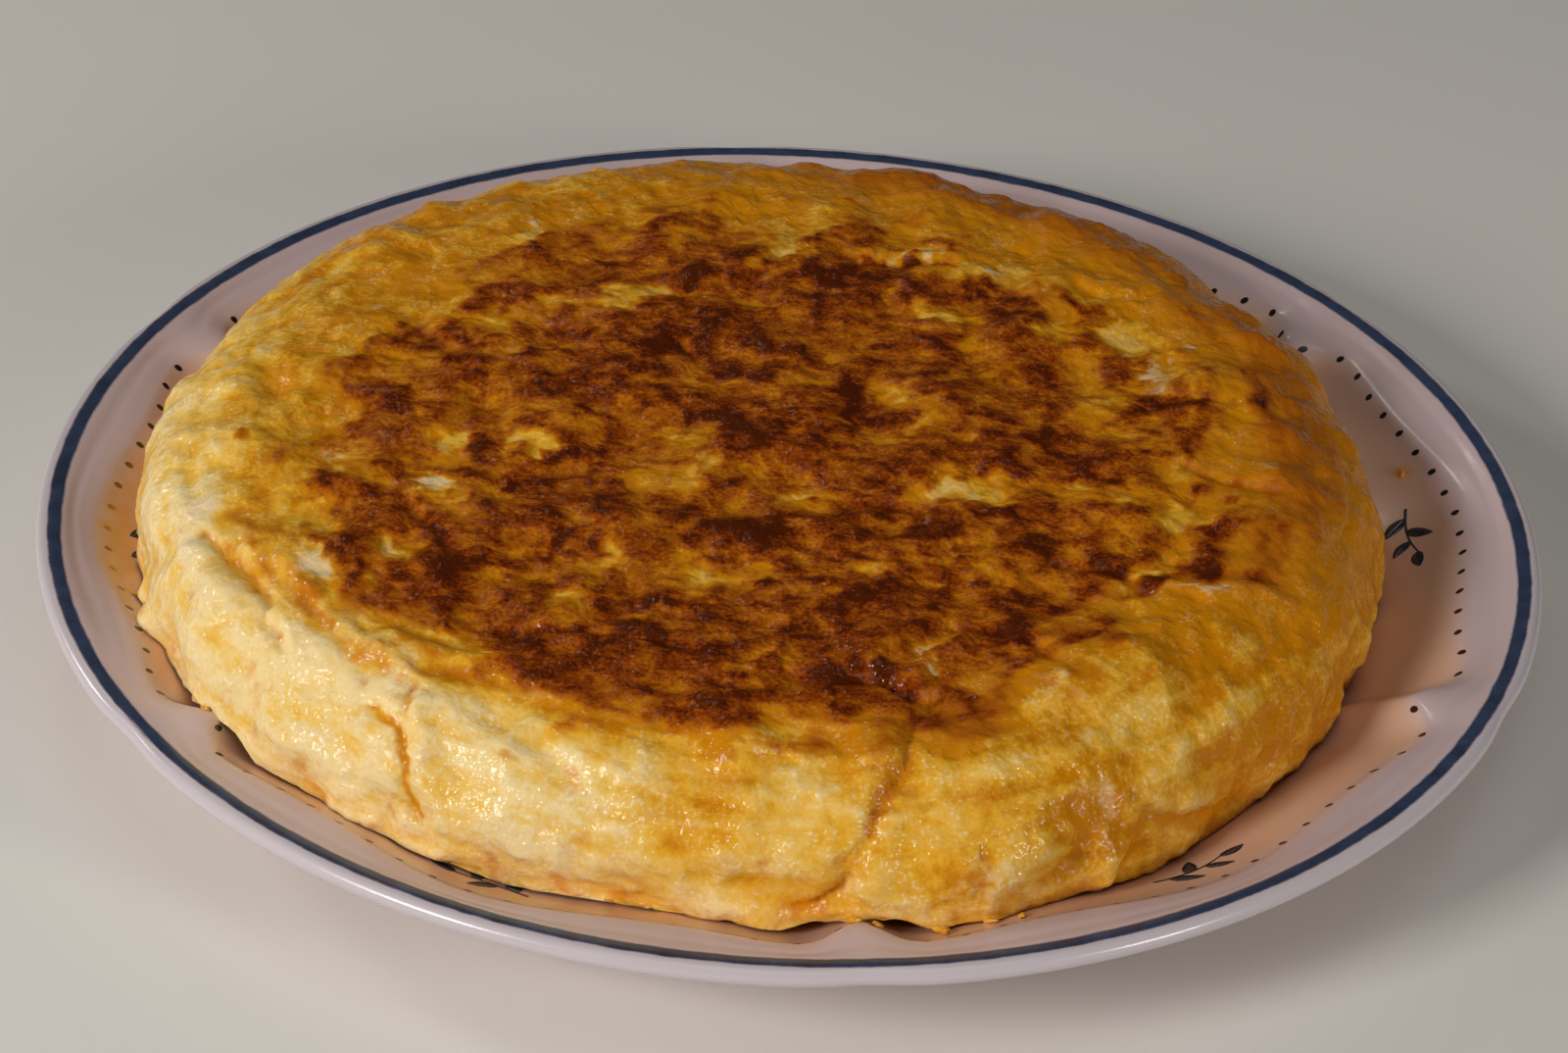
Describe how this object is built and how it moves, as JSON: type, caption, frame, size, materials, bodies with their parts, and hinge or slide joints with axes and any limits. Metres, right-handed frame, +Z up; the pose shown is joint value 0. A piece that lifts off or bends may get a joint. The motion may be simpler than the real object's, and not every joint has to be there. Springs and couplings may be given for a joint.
{
  "type": "spanish omelette on a plate",
  "caption": "Thick round potato omelette with a rounded side, creased skin and browned top, lying whole on a round dinner plate with a scalloped rim.",
  "frame": {"origin": "on the table, under the middle of the plate", "axes": "+Z up, -Y towards the diner, +X to the diner's right"},
  "size_m": [0.2698, 0.27, 0.0428],
  "materials": {
    "glaze": "glossy off-white glaze with a thin blue line near the edge",
    "egg": null
  },
  "bodies": {
    "root": {"plate": "glaze", "omelette": "egg"}
  },
  "joints": []
}
